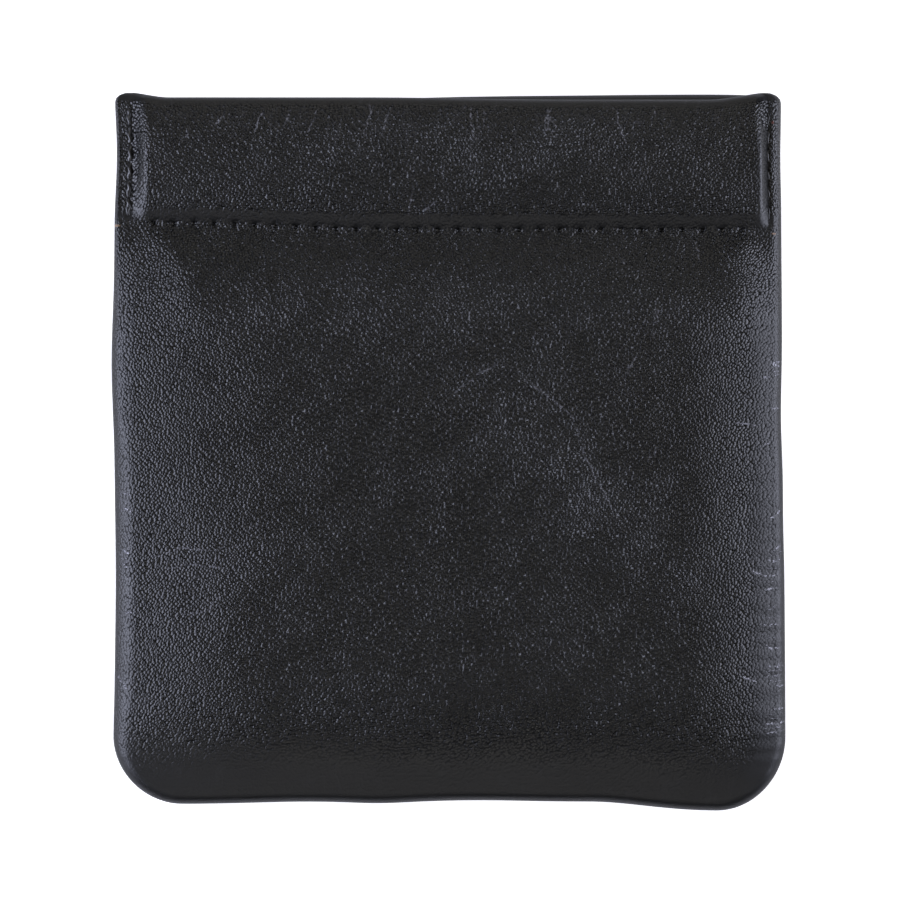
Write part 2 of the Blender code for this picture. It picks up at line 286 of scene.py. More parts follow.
edge_creases = (
    ((769, 363), (778, 362)),
    ((769, 367), (778, 366)),
    ((760, 378), (769, 377), (777, 374)),
    ((732, 423), (745, 424), (758, 426)),
    ((769, 409), (780, 408)),
    ((762, 446), (770, 440)),
    ((766, 519), (772, 516), (780, 508)),
    ((771, 550), (778, 545)),
    ((765, 559), (772, 560), (779, 558)),
    ((748, 570), (762, 575), (776, 573)),
    ((762, 588), (773, 587)),
    ((762, 607), (768, 608), (773, 605)),
    ((755, 622), (764, 624), (776, 623)),
    ((762, 645), (770, 647), (778, 646)),
    ((765, 664), (773, 665), (781, 664)),
    ((738, 674), (754, 680)),
    ((762, 675), (771, 675), (779, 672)),
    ((771, 684), (782, 684)),
    ((770, 707), (782, 707)),
    ((762, 721), (773, 722), (784, 719)),
    ((764, 731), (775, 731)),
    ((122, 493), (134, 495)),
    ((125, 508), (134, 511)),
    ((123, 549), (132, 554)),
    ((123, 562), (132, 567)),
    ((128, 611), (134, 611)),
    ((119, 675), (130, 688)),
)
# How strongly each set of creases shows, in relief and in its painted highlight
casing_crease_strength = 0.45
face_crease_strength = 0.32
edge_crease_strength = 2.6
crease_fade = 0.2               # of a crease's length, over which it fades towards each of its ends

# Where the grain stands up more than elsewhere: place, half length, half width, turn and how much
rough_places = (
    (-0.0395, 0.0250, 0.0065, 0.0028, radians(-66), 0.7),
    (0.0412, 0.0255, 0.0050, 0.0036, radians(90), 0.8),
    (0.0410, 0.0060, 0.0170, 0.0035, radians(90), 0.25),
    (0.0165, -0.0040, 0.0190, 0.0045, radians(-47), 0.40),
    (-0.0320, -0.0140, 0.0110, 0.0040, radians(10), 0.30),
    (0.0419, 0.0455, 0.0020, 0.0009, radians(80), 0.3),
    (0.0000, 0.0430, 0.0430, 0.0040, 0.0, 0.50),
    (-0.0060, 0.0215, 0.0340, 0.0060, 0.0, 0.35),
)
# Where the leather is rubbed glossy: place, half length, half width, turn and how much
glossy_places = (
    (0.0415, 0.0456, 0.0018, 0.0010, radians(80), 1.0),
    (0.0398, 0.0274, 0.0030, 0.0020, radians(0), 0.35),
)
# Where the black is worn off, on the flat hide: place, half length, half height and the colour below
bare_marks = (
    (-0.0450, 0.0303, 0.0010, 0.00018, (0.26, 0.17, 0.10, 1)),
    (0.0437, 0.0443, 0.00025, 0.00022, (0.10, 0.025, 0.015, 1)),
    (0.0438, 0.0301, 0.0004, 0.00014, (0.20, 0.12, 0.07, 1)),
)
bare_edge = (0.4, 1.2)          # squared distance where a mark starts to fade and where it ends

# The leather's patterns, in millimetres. A stretch says how fast a pattern runs along x, y and z
millimetres = 1000              # in a metre
pebbles_per_mm = 2.65
pebble_scatter = 0.85
pebble_rows_turn = radians(-45)
pebble_rows_stretch = (0.94, 1.08, 1)
row_bends_per_mm = 0.14
row_bend = 0.8                  # how far the rows are pushed aside
fine_per_mm = 3.6               # of the noise that roughens the pebbles
fine_share = 0.45
noise_span = (0.35, 0.65)       # between which most values of a noise lie
streak_stretch = (0.08, 0.22, 1)
streak_heights = (0.90, 1.12)   # between the streaks of higher grain, and on them
line_patches_per_mm = 0.28
line_patch_edge = (0.48, 0.58)  # of that noise, where lines start to show and where they show fully
fold_line_stretch = (0.16, 0.60, 1)
fold_line_width = 0.05
vein_stretch = (0.42, 0.11, 1)
vein_width = 0.035
crease_waver = 0.9
crease_wavers_per_mm = 1.1
crease_dots_per_mm = 1.9
crease_dot_edge = (0.40, 0.58)
crease_dome_edge = (0.35, 0.80)     # heights of the pebbles between which a crease comes to show
crease_between_pebbles = 0.2    # how much of it shows there
crease_sides = (0.05, 0.18)     # from a crease's middle to where it starts to fade and where it ends
needle_hole_length = 0.34       # half lengths of a hole in the material, along the row and across it
needle_hole_width = 0.28
needle_hole_edge = (0.75, 1.15)     # where a hole starts to fade and where it ends, in those lengths
tones_per_mm = 0.12
nap_per_mm = 6.0
blotches_per_mm = 0.5

# Heights: those of the grain and the nap in metres, and the others in units of the grain's
grain_height = 0.000062
line_height = 0.3
crease_height = 0.8
needle_hole_drop = 1.6
nap_height = 0.00008

# Colours of the leather, thread and steel, with the leather's painted shade and painted highlights
pebble_colours = ((0.0030, 0.0030, 0.0030, 1), (0.0040, 0.0040, 0.0040, 1))
# Painted shade: the crevices between the pebbles are darker, partly dye settled in them
crevice_painted_shade_colour = (0.0008, 0.0008, 0.0008, 1)
crevice_painted_shade_edge = (0.20, 0.90)     # heights of the pebbles between which the crevices' painted shade fades
# Painted highlight: the fine lines are lightened towards a pale bluish grey
line_painted_highlight_colour = (0.0800, 0.0800, 0.0900, 1)
line_painted_highlight_share = 0.12
# Painted highlight: the creases are lightened towards a pale bluish grey
crease_painted_highlight_colour = (0.3400, 0.3400, 0.3800, 1)
# Painted shade: the needle holes are darker than the leather round them
needle_hole_painted_shade_colour = (0.0015, 0.0015, 0.0015, 1)
flesh_colours = ((0.016, 0.014, 0.013, 1), (0.030, 0.026, 0.023, 1))
thread_colours = ((0.010, 0.010, 0.011, 1), (0.020, 0.020, 0.022, 1))
steel_colours = ((0.26, 0.27, 0.30, 1), (0.40, 0.41, 0.44, 1))

# Roughness and gloss
grain_roughness = (0.25, 0.31)
pressed_roughness = 0.20        # added where the leather is pressed smooth
needle_hole_roughness = -0.12
glossy_roughness = -0.17
grain_gloss = 0.6
flesh_roughness = 0.85
flesh_gloss = 0.3
thread_roughness = 0.3
thread_gloss = 0.9
steel_roughness = (0.22, 0.36)

# Fibres of the thread and rolling lines of the steel, per metre
fibres_per_metre = 9000.0
fibre_height = 0.000005
rolling_stretch = (60, 9000, 60)
rolling_span = (0.3, 0.7)

# The camera
lens = 100.0
sensor = 36.0
nearest_seen = 0.01
farthest_seen = 5
camera_x = 0.000135             # the pouch lies this little off the photograph's middle
camera_y = 0.00027

# Soft lamps round the pouch: name, place, size, power and colour
cool_light = (0.76, 0.80, 1.0)
side_light = (0.80, 0.83, 1.0)
warm_light = (1.0, 0.97, 0.93)
lamps = (
    ("left_lamp", (-0.282, -0.02, 0.144), (0.30, 0.20), 1.08, cool_light),
    ("right_lamp", (0.282, 0.0, 0.144), (0.30, 0.20), 0.67, side_light),
    ("right_low_lamp", (0.28, 0.02, 0.05), (0.16, 0.08), 0.16, side_light),
    ("far_lamp", (0.0, 0.34, 0.10), (0.30, 0.12), 0.10, warm_light),
    ("top_lamp", (0.0, 0.22, 0.33), (0.24, 0.12), 0.13, warm_light),
    ("overhead_lamp", (0.0, 0.0, 0.80), (0.32, 0.32), 0.12, warm_light),
    ("bottom_lamp", (0.0, -0.22, 0.33), (0.24, 0.12), 0.12, warm_light),
)

# The room and the table
white = (1, 1, 1, 1)
room_light = 0.02
table_colour = (0.86, 0.86, 0.86, 1)
table_roughness = 0.9
table_half_width = 3.0
table_top = -0.00002            # just below the pouch's back
table_glow = 0.78               # added for the camera
table_mirrored = 0.14           # added in reflections

# Steps and joins of the meshes
roll_steps = 7
flat_steps = 2
end_rise_steps = 8
ring_steps = 9
corner_steps = 26
column_pitch = stitch_pitch / 6
face_steps = 128
shoulder_steps = 18
dip_steps = 5
arch_steps = 38
lip_steps = 8
hem_steps = 8
strip_corner_points = 9
strip_length_points = 61
strip_width_points = 25
stitch_steps = 14
thread_sides = 10
seam_spacing = 0.00035
seam_thread_sides = 8
margin_spacing = 0.0008
seam_corner_points = 13
weld_distance = 0.000001
wall_sharp = radians(50)        # angle past which an edge of the mesh is shaded sharp
strip_sharp = radians(40)
margin_sharp = radians(35)


def ease(t):
    """Smooth step from 0 to 1."""
    t = np.clip(t, 0, 1)
    return t * t * (3 - 2 * t)


def shoulder(t):
    """Quarter sine wave from 0 to 1, steep at first and then flat."""
    return np.sin(pi / 2 * np.clip(t, 0, 1))


def bell(t, place, reach):
    """Bell curve of height 1 at place, which fades out over reach."""
    return np.exp(-((t - place) / reach) ** 2)


def bells(t, table):
    """Sum of bell curves, each given as its place, reach and size."""
    return sum(size * bell(t, place, reach) for place, reach, size in table)


def slanted_bells(x, y, table):
    """Sum of bells that are longer one way: each has a place, half length, half width, turn and size."""
    total = 0 * x
    for place_x, place_y, long, wide, turn, size in table:
        along = (x - place_x) * np.cos(turn) + (y - place_y) * np.sin(turn)
        aside = (y - place_y) * np.cos(turn) - (x - place_x) * np.sin(turn)
        total = total + size * np.exp(-(along / long) ** 2 - (aside / wide) ** 2)
    return total


def steps(t, table):
    """Sum of smooth steps, each given as its start, reach and size."""
    return sum(size * ease((t - start) / reach) for start, reach, size in table)


def zone(t, limits):
    """1 between the start and end of a zone and 0 beyond them, with soft edges."""
    start, end, soft = limits
    return ease((t - start) / soft + 0.5) * ease((end - t) / soft + 0.5)


def settle(x, y, facing):
    """Where a point of the plain outline lies on the used pouch.

    The left and right edges are pushed in and out, and points between them follow in proportion. The
    bottom hangs lower at its corners. Each lip and the front's stitches dip, and the dip fades out below.
    """
    left = bells(y, left_edge_bells)
    right = right_edge_push + steps(y, right_edge_steps) + bells(y, right_edge_bells)
    share = (x / half_width + 1) / 2
    sag = bells(x, bottom_edge_bells)
    for side, depth in ((1, right_corner_sag), (-1, left_corner_sag)):
        away = (x - side * corner_centre_x) / sag_width
        sag = sag + depth * np.maximum(0, 1 - away ** 2) ** 2
    low = ease(1 - (y - bottom_y) / sag_height)
    lip = steps(x, front_lip_steps if facing > 0 else back_lip_steps)
    row = steps(x, front_stitch_steps) if facing > 0 else 0 * x
    up = np.clip((y - stitches_y) / (lip_y - stitches_y), 0, 1)
    dip = (row + (lip - row) * up) * ease((y - dip_end_y) / (stitches_y - dip_end_y))
    return x + left * (1 - share) + right * share, y - sag * low - dip


def strip_rise(y):
    """Height of a spring strip's arch above its two edges: a parabola across the strip."""
    return strip_arch * np.maximum(0, 1 - ((y - strip_middle_y) / strip_half_width) ** 2)


def step_shift(depth):
    """How much nearer the middle the step over a strip's end lies, depth below the outer face.

    The step is a straight slope here, as steep as at the casing's right end.
    """
    slope = (casing_level - rim_level) / right_end_rise
    return depth * (np.sqrt(1 + slope * slope) - 1) / slope


def casing_rise(x, y, depth):
    """Extra level of the leather over a spring strip: a ramp up from the stitches, then the strip's arch."""
    edge = casing_level - strip_arch - rim_level
    over = edge * np.clip((y - stitches_y) / (strip_bottom_y - stitches_y), 0, 1) + strip_rise(y)
    end = half_width - np.where(x < 0, left_flat, right_flat) - step_shift(depth) - np.abs(x)
    wider = top_corner_extra * bell(y, top_corner_y, top_corner_reach)
    return over * ease(end / np.where(x < 0, left_end_rise, right_end_rise + wider))


def belly(x, y, facing):
    """Fullness of a wall below its casing: shoulders rise from all four edges and are multiplied.

    A share of the front's rise comes at once beside its rolled edges and right below the stitches.
    """
    up = stitches_y - y
    if facing < 0:
        sides = ease((half_width - edge_roll - np.abs(x)) / back_shoulder)
        ends = ease((y - bottom_y - edge_roll) / back_shoulder) * ease(up / back_shoulder)
        return back_belly_rise * sides * ends
    left, right = x + half_width, half_width - x
    foot = shoulder((y - bottom_y - edge_roll) / bottom_shoulder)
    slow = shoulder((left - edge_roll) / left_shoulder) * shoulder((right - edge_roll) / right_shoulder)
    left_quick = shoulder((left - flank_start) / left_flank_width)
    right_quick = shoulder((right - flank_start) / right_flank_width)
    slow = (1 - flank_share) * slow * ease(up / stitch_shoulder)
    quick = flank_share * left_quick * right_quick * ease(up / flank_top)
    return front_belly_rise * foot * (slow + quick)


def front_swells(x, y):
    """Soft swells and hollows of the used front: bells along slanted lines, and long low waves."""
    level = slanted_bells(x, y, swell_places) * ease((stitches_y - y) / swell_top_fade)
    for length, turn, shift, size in wave_lines:
        across = x * np.cos(turn) + y * np.sin(turn)
        level = level + size * np.sin(2 * pi * across / length + shift)
    inside = ease((half_width - np.abs(x)) / swell_edge_fade) * ease((y - bottom_y) / swell_edge_fade)
    return level * inside


def edge_folds(x, y):
    """Small cross folds of the side edges: waves down the edge whose pitch wavers."""
    wave = np.sin(2 * pi * y / fold_pitch + fold_waver * np.sin(2 * pi * y / fold_waver_length))
    sides = zone(x, right_fold_x) + left_fold_share * zone(x, left_fold_x)
    return fold_height * wave * sides * zone(y, right_fold_y)


def stitch_dents(x, y):
    """How far the stitches pull the face in: a groove along each row, deeper at every needle hole.

    Beside the left edge lie a second groove and a low ridge.
    """
    from_hole = np.abs((x / stitch_pitch) % 1 - 0.5) * stitch_pitch
    row = row_groove_depth + needle_hole_depth * bell(from_hole, 0, needle_hole_reach)
    row = row * bell(y, stitches_y, row_groove_reach) * ease((strip_half_length - np.abs(x)) / row_end_fade)
    left, inset = x < 0, half_width - np.abs(x)
    depth = np.where(left, side_groove_depth["left"], side_groove_depth["right"])
    middle = np.where(left, side_row_inset["left"], side_row_inset["right"])
    beside = depth * bell(inset, middle, side_groove_reach)
    beside = beside + np.where(left, bells(inset, left_edge_grooves), 0)
    return row + beside * ease((y - stitches_y) / side_groove_fade)


def roll_width(x, y, facing):
    """Width of the curl beside the edge: on the front's left side tighter at the casing and wider below."""
    tight = ease((y - tight_roll_y[1]) / (tight_roll_y[0] - tight_roll_y[1]))
    wide = ease((wide_roll_y[0] - y) / (wide_roll_y[0] - wide_roll_y[1]))
    wide = wide * ease((y - bottom_y) / wide_roll_fade)
    change = tight * (tight_roll - edge_roll) + wide * (wide_roll - edge_roll)
    return edge_roll + np.where((x < 0) & (facing > 0), change, 0)


def curl(inset, depth, roll=edge_roll):
    """Share of its full level that a wall has inset from the rolled edge: a quarter circle."""
    lean = np.clip(1 - (inset - depth) / np.maximum(roll - depth, thinnest_roll), 0, 1)
    return np.sqrt(1 - lean * lean)


def face_level(x, y, inset, facing, depth):
    """Level of a wall's face, inset from the rolled edge, depth below the leather's outer side."""
    level = rim_level - depth + belly(x, y, facing) + casing_rise(x, y, depth)
    if facing > 0:
        level = level + front_swells(x, y) + edge_folds(x, y)
    if depth == 0:
        level = level - stitch_dents(x, y)
    return edge_level + (level - edge_level) * curl(inset, depth, roll_width(x, y, facing))


def rings(depth):
    """Insets of the mesh's rings from the rolled edge to a corner's centre, on the pouch and on the hide.

    They are close together in the curl and over the left end of the casing's strip.
    """
    turns = np.linspace(0, pi / 2, roll_steps + 1)
    rolled = edge_roll - (edge_roll - depth) * np.cos(turns)
    flat = edge_roll - roll_length * (1 - turns / (pi / 2))
    step = left_flat + step_shift(depth)
    inner = np.concatenate([
        np.linspace(edge_roll, step, flat_steps + 1)[1:],
        np.linspace(step, step + left_end_rise, end_rise_steps + 1)[1:],
        np.linspace(step + left_end_rise, bottom_corner_radius, ring_steps + 1)[1:],
    ])
    return np.concatenate([rolled, inner]), np.concatenate([flat, inner])


def inner_columns():
    """X of the mesh's columns between the corners' centres: evenly spaced, with one at each centre."""
    count = int(corner_centre_x / column_pitch)
    even = np.arange(-count, count + 1) * column_pitch
    return np.concatenate([[-corner_centre_x], even, [corner_centre_x]])


def join(x, y, level, hide_x, hide_y):
    """Stack a patch's five numbers per point: its place and its place on the flat hide."""
    return np.stack(np.broadcast_arrays(x, y, level, hide_x, hide_y), axis=-1)


def main_patch(facing, depth, insets, flats):
    """The face above the corners' centres, the lip and the hem, as one grid of rows across the pouch.

    Its columns are the rings at both sides and even ones between them. The lip is a half turn, whose
    level goes from the face's to its own top and on to the hem's by the size of the turn's cosine.
    """
    inner = inner_columns()
    edges, none = np.ones(len(insets) - 1), np.zeros(len(inner))
    side = np.concatenate([-edges, none, edges])
    inset = np.concatenate([insets[:-1], none + bottom_corner_radius, insets[-2::-1]])
    flat = np.concatenate([flats[:-1], none, flats[-2::-1]])
    middle = np.concatenate([0 * edges, inner, 0 * edges])
    share = (inset - depth) / (bottom_corner_radius - depth)
    hide_x = middle + side * (half_width - flat)

    def across(half):
        """X of the columns where the skin's edges lie half from the middle."""
        return middle + side * (half - share * (half - corner_centre_x))

    face_x = across(half_width - depth)
    shoulder_y = stitches_y - stitch_shoulder
    ys = np.concatenate([
        np.linspace(corner_centre_y, shoulder_y, face_steps + 1),
        np.linspace(shoulder_y, stitches_y, shoulder_steps + 1)[1:],
        np.linspace(stitches_y, strip_bottom_y, dip_steps + 1)[1:],
        np.linspace(strip_bottom_y, strip_top_y, arch_steps + 1)[1:],
    ])[:, None]
    face = face_level(face_x[None], ys, inset[None], facing, depth)
    face_rows = join(*settle(face_x[None] + 0 * ys, ys, facing), face, hide_x, ys)

    turn = np.linspace(0, pi, lip_steps + 1)[1:, None]
    outside = turn <= pi / 2
    corner_x = half_width - mouth_corner_radius
    beyond = np.where(outside, mouth_corner_radius - depth, corner_x - hem_half_width)
    lip_x = across(corner_x + beyond * np.cos(turn))
    fold_y = strip_top_y + (leather + lip_fold - depth) * np.sin(turn) + 0 * lip_x
    lip_level = (casing_level - strip_arch + hem_level) / 2
    top = edge_level + (lip_level - edge_level) * curl(inset, depth)
    end = np.where(outside, face[-1], hem_level + depth)
    fold = top + (end - top) * np.abs(np.cos(turn))
    fold_hide = strip_top_y + lip_length * turn / pi
    lip_rows = join(*settle(lip_x, fold_y, facing), fold, hide_x, fold_hide)

    ys = np.linspace(strip_top_y, hem_end_y, hem_steps + 1)[1:, None]
    hem_x = across(hem_half_width)[None] + 0 * ys
    hem_hide = 2 * strip_top_y + lip_length - ys
    hem_rows = join(*settle(hem_x, ys, facing), hem_level + depth, hide_x, hem_hide)
    return np.concatenate([face_rows, lip_rows, hem_rows])


def bottom_band(facing, depth, insets, flats):
    """The band along the bottom between the corners' centres: a row for each ring."""
    inner = inner_columns()
    ring, ring_flat = insets[:, None], flats[:, None]
    x, y = inner[None] + 0 * ring, bottom_y + ring + 0 * inner[None]
    level = face_level(x, y, ring, facing, depth)
    return join(*settle(x, y, facing), level, x, bottom_y + ring_flat)


def corner_fan(way, facing, depth, insets, flats):
    """A bottom corner, to the right or left by way's sign: a quarter turn about its centre for each ring."""
    start = pi if way < 0 else 1.5 * pi
    angle = np.linspace(start, start + pi / 2, corner_steps + 1)[None]
    ring, ring_flat = insets[:, None], flats[:, None]
    reach, flat_reach = bottom_corner_radius - ring, bottom_corner_radius - ring_flat
    x = way * corner_centre_x + reach * np.cos(angle)
    y = corner_centre_y + reach * np.sin(angle)
    level = face_level(x, y, ring, facing, depth)
    hide_x = way * corner_centre_x + flat_reach * np.cos(angle)
    hide_y = corner_centre_y + flat_reach * np.sin(angle)
    return join(*settle(x, y, facing), level, hide_x, hide_y)


def wall_skin(facing, depth):
    """One skin of a wall, depth below its outer face, as patches of rows of points."""
    ring_pair = rings(depth)
    return [
        main_patch(facing, depth, *ring_pair),
        bottom_band(facing, depth, *ring_pair),
        corner_fan(-1, facing, depth, *ring_pair),
        corner_fan(1, facing, depth, *ring_pair),
    ]


def grid_faces(rows, columns, start=0, closed=False):
    """Quads between neighbouring rows and columns of a grid, whose points are numbered from start."""
    wide = columns if closed else columns - 1
    row, column = np.meshgrid(np.arange(rows - 1), np.arange(wide), indexing="ij")
    beside = (column + 1) % columns
    corners = (row * columns + column, row * columns + beside,
               (row + 1) * columns + beside, (row + 1) * columns + column)
    return start + np.stack(corners, axis=-1).reshape(-1, 4)


def tube_faces(rows, columns):
    """Faces of a closed profile carried along a path: quads round it, and one flat cap at each end."""
    cap = np.arange(columns)[None]
    return [grid_faces(rows, columns, closed=True), cap[:, ::-1], (rows - 1) * columns + cap]


def add_piece(name, points, faces, materials, face_materials=None, sharp=None):
    """A mesh object at the origin from an array of points and arrays of faces."""
    mesh = bpy.data.meshes.new(name)
    mesh.from_pydata(points.tolist(), [], [face for part in faces for face in part.tolist()])
    bm = bmesh.new()
    bm.from_mesh(mesh)
    bmesh.ops.recalc_face_normals(bm, faces=bm.faces)
    bm.to_mesh(mesh)
    bm.free()
    for material in materials:
        mesh.materials.append(material)
    if face_materials is not None:
        mesh.polygons.foreach_set("material_index", face_materials.astype(np.int32))
    mesh.shade_smooth()
    if sharp:
        mesh.set_sharp_from_angle(angle=sharp)
    piece = bpy.data.objects.new(name, mesh)
    bpy.context.scene.collection.objects.link(piece)
    return piece


def add_vectors(piece, name, values):
    """Give each point of a piece a vector that its material reads."""
    attribute = piece.data.attributes.new(name, "FLOAT_VECTOR", "POINT")
    attribute.data.foreach_set("vector", values.astype(np.float32).ravel())


def stand(points, facing):
    """Turn levels into heights: the front lies above the mid-plane and the back below it."""
    placed = points.copy()
    placed[..., 2] = mid_plane + facing * placed[..., 2]
    return placed


def weld(outer, inner, quads):
    """Merge the points that patches share, and split off the quads that shrink to triangles there."""
    keys = np.round(outer[:, :3] / weld_distance).astype(np.int64)
    _, first, back = np.unique(keys, axis=0, return_index=True, return_inverse=True)
    quads = back.ravel()[quads]
    shrunk = quads[:, 2] == quads[:, 3]
    return outer[first], inner[first], quads[~shrunk], quads[shrunk][:, :3]


def rim_faces(quads, triangles, count):
    """Quads from the open edges of the outer skin to the inner skin's, whose points follow count later."""
    edges = [quads[:, [corner, (corner + 1) % 4]] for corner in range(4)]
    edges += [triangles[:, [corner, (corner + 1) % 3]] for corner in range(3)]
    edges = np.concatenate(edges)
    _, where, uses = np.unique(np.sort(edges, axis=1), axis=0, return_index=True, return_counts=True)
    rim = edges[where[uses == 1]]
    return np.column_stack([rim[:, 1], rim[:, 0], rim[:, 0] + count, rim[:, 1] + count])


def make_wall(name, facing, grain, flesh):
    """One wall: its outer and inner skins, welded along their patches, and a rim round their edges."""
    skins = wall_skin(facing, 0.0), wall_skin(facing, leather)
    quads, start = [], 0
    for patch in skins[0]:
        quads.append(grid_faces(*patch.shape[:2], start))
        start += patch.shape[0] * patch.shape[1]
    outer, inner = (np.concatenate([patch.reshape(-1, 5) for patch in skin]) for skin in skins)
    outer, inner, quads, triangles = weld(outer, inner, np.concatenate(quads))

    count = len(outer)
    rim = rim_faces(quads, triangles, count)
    points = np.concatenate([outer, inner])
    faces = [quads, triangles, quads[:, ::-1] + count, triangles[:, ::-1] + count, rim]
    grain_side = len(quads) + len(triangles)
    face_materials = np.concatenate([np.zeros(grain_side), np.ones(grain_side + len(rim))])
    piece = add_piece(name, stand(points[:, :3], facing), faces, [grain, flesh],
                      face_materials, wall_sharp)
    x, y, _, hide_x, hide_y = points.T
    add_vectors(piece, "hide", np.column_stack([hide_x, hide_y, 0 * hide_x]))
    # The marks of use, which also set the lines' painted highlight and the crevices' painted shade
    add_vectors(piece, "wear_and_painted_light", wear_and_painted_light(hide_x, hide_y, facing))
    if facing > 0:
        distance, strength = crease_marks(x, y)
        before_lip = hide_y < strip_top_y + lip_length / 2
        glossy = slanted_bells(hide_x, hide_y, glossy_places)
        add_vectors(piece, "creases", np.column_stack([distance, strength * before_lip, glossy]))
    return piece


def run_length(points):
    """Length along a line of points from its start to each of them."""
    return np.concatenate([[0], np.cumsum(np.linalg.norm(np.diff(points, axis=0), axis=1))])


def crease_marks(x, y):
    """Distance in millimetres to the nearest crease, its side given by the sign, and how it shows there.

    A crease is straight between two of its points, and it fades out towards both of its ends.
    """
    crease_sets = (
        (casing_creases, casing_crease_strength),
        (face_creases, face_crease_strength),
        (edge_creases, edge_crease_strength),
    )
    starts, ends, spans, strengths = [], [], [], []
    for creases, strength in crease_sets:
        for crease in creases:
            points = (np.array(crease) - photo_middle) * (photo_pixel, -photo_pixel)
            passed = run_length(points)
            passed = passed / passed[-1]
            starts.extend(points[:-1])
            ends.extend(points[1:])
            spans.extend(zip(passed[:-1], passed[1:]))
            strengths.extend([strength] * (len(points) - 1))
    starts, ends, spans = np.array(starts), np.array(ends), np.array(spans)
    ahead = ends - starts
    away_x, away_y = x[:, None] - starts[:, 0], y[:, None] - starts[:, 1]
    share = np.clip((away_x * ahead[:, 0] + away_y * ahead[:, 1]) / (ahead ** 2).sum(axis=1), 0, 1)
    gap_x, gap_y = away_x - share * ahead[:, 0], away_y - share * ahead[:, 1]
    distance = np.hypot(gap_x, gap_y)
    nearest = distance.argmin(axis=1)
    row = np.arange(len(x))
    side = np.sign(ahead[nearest, 0] * gap_y[row, nearest] - ahead[nearest, 1] * gap_x[row, nearest])
    place = spans[nearest, 0] + share[row, nearest] * (spans[nearest, 1] - spans[nearest, 0])
    fade = ease(place / crease_fade) * ease((1 - place) / crease_fade)
    return millimetres * distance[row, nearest] * side, np.array(strengths)[nearest] * fade


def wear_and_painted_light(x, y, facing):
    """Where the hide is marked: cross creases at the side edges, upright veins, and the grain's relief. The
    lines also carry a painted highlight, and where the relief is pressed flat the crevices lose their
    painted shade.
    """
    crumpled = zone(y, crumple_y)
    lines = right_fold_lines * zone(x, right_fold_x) + left_fold_lines * zone(x, left_fold_x)
    lines = lines * zone(y, right_fold_y) + crumple_lines * zone(x, crumple_x) * crumpled
    veins = zone(x, vein_x) * (vein_lines[0] + (vein_lines[1] - vein_lines[0]) * zone(y, vein_y))

    casing = zone(y, casing_y)
    pressed = row_pressed * zone(y, row_band_y) + lip_pressed * zone(y, lip_band_y)
    pressed = pressed + foot_pressed * zone(y, foot_y)
    pressed = pressed + step_pressed * zone(x, step_band_x) * casing * (1 - crumpled)
    sides = left_pressed * zone(x, left_band_x) + right_pressed * zone(x, right_band_x)
    relief = 1 - pressed_away * np.clip(pressed + sides * (1 - casing), 0, 1)
    if facing > 0:
        relief = relief + slanted_bells(x, y, rough_places)
    return np.column_stack([lines, veins, relief])


def make_thread(name, centre, thickness, ply_depth, ply_turn, sides, material):
    """A thread along its centre line: a profile with two lobes, the plies, which turns on the way.

    At each place the profile lies square to the path, and it makes half a turn per ply_turn of length.
    """
    ahead = np.gradient(centre, axis=0)
    ahead /= np.linalg.norm(ahead, axis=1, keepdims=True)
    across = np.cross(ahead, [0, 0, 1.0])
    across /= np.linalg.norm(across, axis=1, keepdims=True)
    upward = np.cross(across, ahead)
    twist = run_length(centre) / ply_turn * pi
    angle = np.linspace(0, 2 * pi, sides, endpoint=False)[None, :]
    reach = thickness / 2 * (1 + ply_depth * np.cos(2 * (angle - twist[:, None])))
    points = (centre[:, None] + reach[..., None] * (np.cos(angle)[..., None] * across[:, None]
                                                    + np.sin(angle)[..., None] * upward[:, None]))
    return add_piece(name, points.reshape(-1, 3), tube_faces(len(centre), sides), [material])


def casing_row():
    """X of the needle holes of a casing's row of stitches, a pitch apart and centred."""
    count = int(2 * strip_half_length / stitch_pitch)
    return (np.arange(count + 1) - count / 2) * stitch_pitch


def side_row():
    """Y of the needle holes of an upright row of stitches."""
    low, high = upright_low.y, upright_high.y
    count = int(round((high - low) / side_stitch_pitch))
    return np.linspace(low, high, count + 1)


def stitch_profile(holes):
    """Places along a row, and the thread's lift there: 1 between two holes and 0 inside a hole."""
    stitches = len(holes) - 1
    place = np.linspace(0, stitches, stitches * stitch_steps + 1)
    along = np.interp(place, np.arange(len(holes)), holes)
    return along, np.abs(np.sin(pi * place)) ** stitch_roundness


def make_row(name, x, y, lift, facing, thickness, material):
    """A row of stitches on a wall's face: the thread's centre lies thread_sink below it, plus its lift."""
    inset = np.minimum(half_width - np.abs(x), bottom_corner_radius)
    level = face_level(x, y, inset, facing, 0.0) - thread_sink + lift
    centre = stand(np.stack([*settle(x, y, facing), level], axis=-1), facing)
    return make_thread(name, centre, thickness, row_ply_depth, row_ply_turn, thread_sides, material)


def make_rows(wall, facing, material):
    """The three rows of stitches of a wall, whose thread dives into the leather at each needle hole."""
    x, lift = stitch_profile(casing_row())
    row = make_row(f"{wall}_casing_stitches", x, stitches_y + 0 * x, lift * thread_rise, facing,
                   thread_thickness, material)
    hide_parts(f"{wall}_casing_thread")
    rows = [row]
    for side, sign in (("left", -1), ("right", 1)):
        y, lift = stitch_profile(side_row())
        x = sign * (half_width - side_row_inset[side]) + 0 * y
        row = make_row(f"{wall}_{side}_stitches", x, y, lift * side_thread_rise[side], facing,
                       side_thread_thickness[side], material)
        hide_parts(f"{wall}_{side}_side_thread")
        rows.append(row)
    return rows


